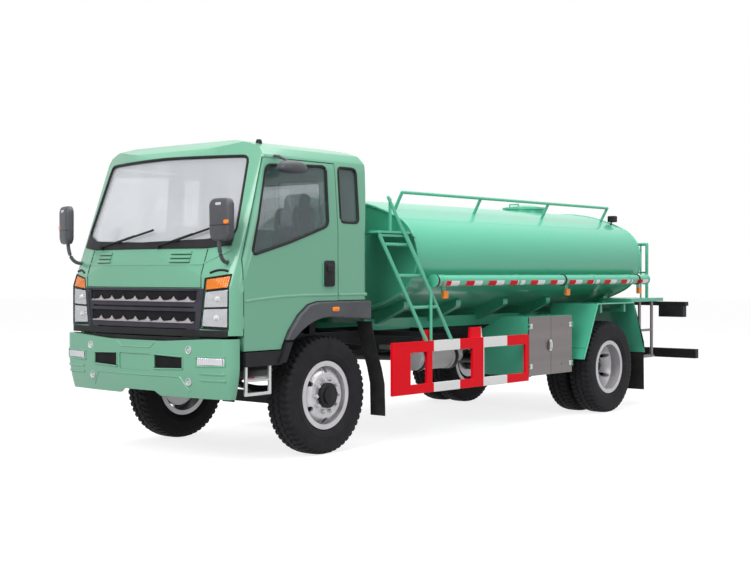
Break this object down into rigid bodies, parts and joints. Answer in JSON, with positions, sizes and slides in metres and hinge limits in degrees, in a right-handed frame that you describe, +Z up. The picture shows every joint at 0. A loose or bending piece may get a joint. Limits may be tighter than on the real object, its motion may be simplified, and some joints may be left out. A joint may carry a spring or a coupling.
{
  "type": "tanker truck",
  "caption": "Cab-over two-axle water tanker truck with an oval tank, tilting cab with hinged doors, steered front wheels, twin rear tyres, side guards, ladder and rear platform.",
  "frame": {"origin": "on the ground under the middle of the overall box", "axes": "+X forward, +Y to the driver's left-hand side of travel, +Z up"},
  "size_m": [8, 2.46, 2.71],
  "materials": {
    "paint": "gloss",
    "cab_paint": "gloss",
    "chassis_black": "satin",
    "flap_rubber": "matt",
    "black_plastic": "matt",
    "seat_cloth": "woven",
    "glass": "clear",
    "lamp_lens": "clear lens",
    "guard_red": "gloss",
    "stainless": "brushed",
    "grey_plastic": "satin",
    "aluminium": "satin",
    "tyre": "matt",
    "rim_silver": "satin"
  },
  "bodies": {
    "chassis": {"frame": "chassis_black", "engine": "chassis_black", "front_axle": "chassis_black", "rear_axle": "chassis_black", "leaf_springs": "chassis_black", "prop_shaft": "chassis_black", "front_bumper": "paint", "chassis_lamps": "lamp_lens", "tank": "paint", "tank_bearers": "paint", "side_tubes": "paint", "top_rails": "paint", "ladder": "paint", "side_guards": "guard_red", "tool_box": "paint", "air_cleaner": "grey_plastic", "fuel_tank": "aluminium", "rear_fenders": "paint", "mudguards": "flap_rubber", "platform": "paint", "rear_steps": "stainless", "underrun_bar": "chassis_black", "cab_steps": "black_plastic"},
    "cab": {"cab_shell": "cab_paint", "cab_floor": "cab_paint", "grille": "black_plastic", "headlamps": "lamp_lens", "cab_glass": "glass", "wipers": "black_plastic", "mirrors": "black_plastic", "dashboard": "black_plastic", "seats": "seat_cloth", "steering_wheel": "black_plastic", "arch_flares": "black_plastic"},
    "door_left": {"door_left": "cab_paint", "glass_left": "glass", "kerb_mirror": "black_plastic"},
    "door_right": {"door_right": "cab_paint", "glass_right": "glass"},
    "manhole_lid": {"manhole_lid": "paint"},
    "box_leaf_front": {"box_leaf_front": "stainless"},
    "box_leaf_rear": {"box_leaf_rear": "stainless"},
    "knuckle_left": {"knuckle_left": "chassis_black"},
    "knuckle_right": {"knuckle_right": "chassis_black"},
    "tie_rod": {"tie_rod": "chassis_black"},
    "wheel_front_left": {"tyre_front_left": "tyre", "rim_front_left": "rim_silver"},
    "wheel_front_right": {"tyre_front_right": "tyre", "rim_front_right": "rim_silver"},
    "wheels_rear_left": {"tyres_rear_left": "tyre", "rims_rear_left": "rim_silver"},
    "wheels_rear_right": {"tyres_rear_right": "tyre", "rims_rear_right": "rim_silver"}
  },
  "joints": [
    {"name": "cab_tilt", "type": "hinge", "parent": "chassis", "child": "cab", "pos_m": [3.91, 0, 0.94], "axis": [0, 1, 0], "range_deg": [0, 45]},
    {"name": "door_left_swing", "type": "hinge", "parent": "cab", "child": "door_left", "pos_m": [3.761, 1.037, 1.5], "axis": [0, 0, -1], "range_deg": [0, 70]},
    {"name": "door_right_swing", "type": "hinge", "parent": "cab", "child": "door_right", "pos_m": [3.761, -1.037, 1.5], "axis": [0, 0, 1], "range_deg": [0, 70]},
    {"name": "manhole_lid_swing", "type": "hinge", "parent": "chassis", "child": "manhole_lid", "pos_m": [-2.17, 0, 2.322], "axis": [0, -1, 0], "range_deg": [0, 100]},
    {"name": "box_leaf_front_swing", "type": "hinge", "parent": "chassis", "child": "box_leaf_front", "pos_m": [-0.165, 1.182, 0.8], "axis": [0, 0, -1], "range_deg": [0, 110]},
    {"name": "box_leaf_rear_swing", "type": "hinge", "parent": "chassis", "child": "box_leaf_rear", "pos_m": [-1.001, 1.182, 0.8], "axis": [0, 0, 1], "range_deg": [0, 110]},
    {"name": "steer_left", "type": "hinge", "parent": "chassis", "child": "knuckle_left", "pos_m": [2.75, 0.76, 0.509], "axis": [0, 0, 1], "range_deg": [-35, 35]},
    {"name": "steer_right", "type": "hinge", "parent": "chassis", "child": "knuckle_right", "pos_m": [2.75, -0.76, 0.509], "axis": [0, 0, 1], "range_deg": [-35, 35]},
    {"name": "tie_rod_swing", "type": "hinge", "parent": "knuckle_left", "child": "tie_rod", "pos_m": [2.565, 0.76, 0.392], "axis": [0, 0, 1], "range_deg": [-35, 35]},
    {"name": "wheel_front_left_spin", "type": "hinge", "parent": "knuckle_left", "child": "wheel_front_left", "pos_m": [2.75, 0.8985, 0.509], "axis": [0, 1, 0], "continuous": true},
    {"name": "wheel_front_right_spin", "type": "hinge", "parent": "knuckle_right", "child": "wheel_front_right", "pos_m": [2.75, -0.8985, 0.509], "axis": [0, 1, 0], "continuous": true},
    {"name": "wheels_rear_left_spin", "type": "hinge", "parent": "chassis", "child": "wheels_rear_left", "pos_m": [-1.75, 0.9505, 0.509], "axis": [0, 1, 0], "continuous": true},
    {"name": "wheels_rear_right_spin", "type": "hinge", "parent": "chassis", "child": "wheels_rear_right", "pos_m": [-1.75, -0.9505, 0.509], "axis": [0, 1, 0], "continuous": true}
  ],
  "couplings": [
    {"joint": "steer_right", "follows": "steer_left", "ratio": 1},
    {"joint": "tie_rod_swing", "follows": "steer_left", "ratio": -1}
  ]
}
